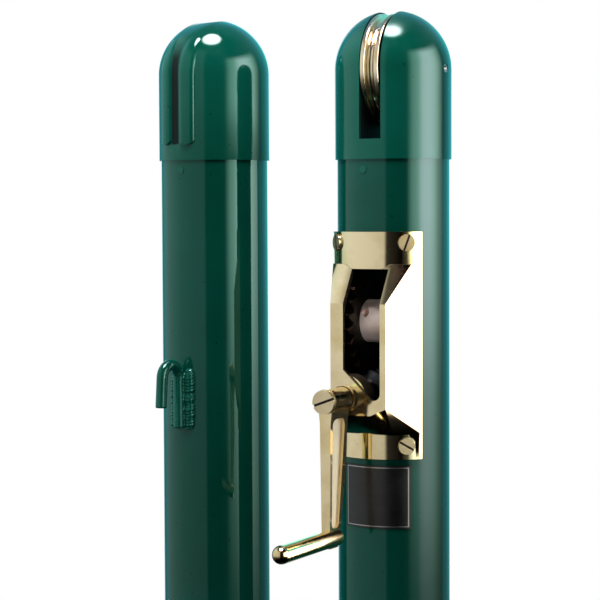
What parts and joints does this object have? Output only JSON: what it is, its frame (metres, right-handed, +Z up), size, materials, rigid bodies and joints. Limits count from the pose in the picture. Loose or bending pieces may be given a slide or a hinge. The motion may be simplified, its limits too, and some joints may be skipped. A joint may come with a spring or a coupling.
{
  "type": "net post pair",
  "caption": "Pair of round steel net posts with domed caps: one has a worm winder with a crank and a pulley wheel, the other a ribbed cap and a cable hook.",
  "frame": {"origin": "centre of the winder post's foot", "axes": "+Z up along the winder post's axis, -Y out through the winder's front face, +X to the right as seen from the winder's front; the plain post stands on -X"},
  "size_m": [0.222, 0.1805, 1.377],
  "materials": {
    "green_enamel": "glossy dark green stoved enamel on steel and cast aluminium",
    "brass": "polished cast brass and bronze",
    "steel": "turned steel, lightly oiled",
    "black_plate": "black anodised sheet"
  },
  "bodies": {
    "posts": {"winder_post_tube": "green_enamel", "winder_post_cap": "green_enamel", "winder_cap_rivets": "green_enamel", "pulley_axle": "steel", "winder_housing": "brass", "housing_screws": "brass", "worm_front_bush": "brass", "worm_rear_bush": "brass", "thrust_washer": "brass", "drum_axle": "steel", "drum_washers": "brass", "axle_clips": "steel", "plain_post_tube": "green_enamel", "plain_post_cap": "green_enamel", "plain_cap_rivets": "green_enamel", "cable_hook": "green_enamel", "plain_plate": "black_plate"},
    "crank": {"worm": "steel", "crank_arm": "brass", "crank_screw": "brass"},
    "drum": {"worm_wheel": "steel", "drum": "brass", "drum_dowels": "steel"},
    "pulley": {"pulley_wheel": "brass", "pulley_bush": "brass"}
  },
  "joints": [
    {"name": "crank_spin", "type": "hinge", "parent": "posts", "child": "crank", "pos_m": [-0.0105, 0, 1.11871], "axis": [0, 1, 0], "continuous": true},
    {"name": "drum_spin", "type": "hinge", "parent": "posts", "child": "drum", "pos_m": [0, -0.0105, 1.1679], "axis": [1, 0, 0], "continuous": true},
    {"name": "pulley_spin", "type": "hinge", "parent": "posts", "child": "pulley", "pos_m": [0.00014, -0.0026, 1.3368], "axis": [0.9986, 0.0523, 0], "continuous": true}
  ],
  "couplings": [
    {"joint": "drum_spin", "follows": "crank_spin", "ratio": -0.041667}
  ]
}
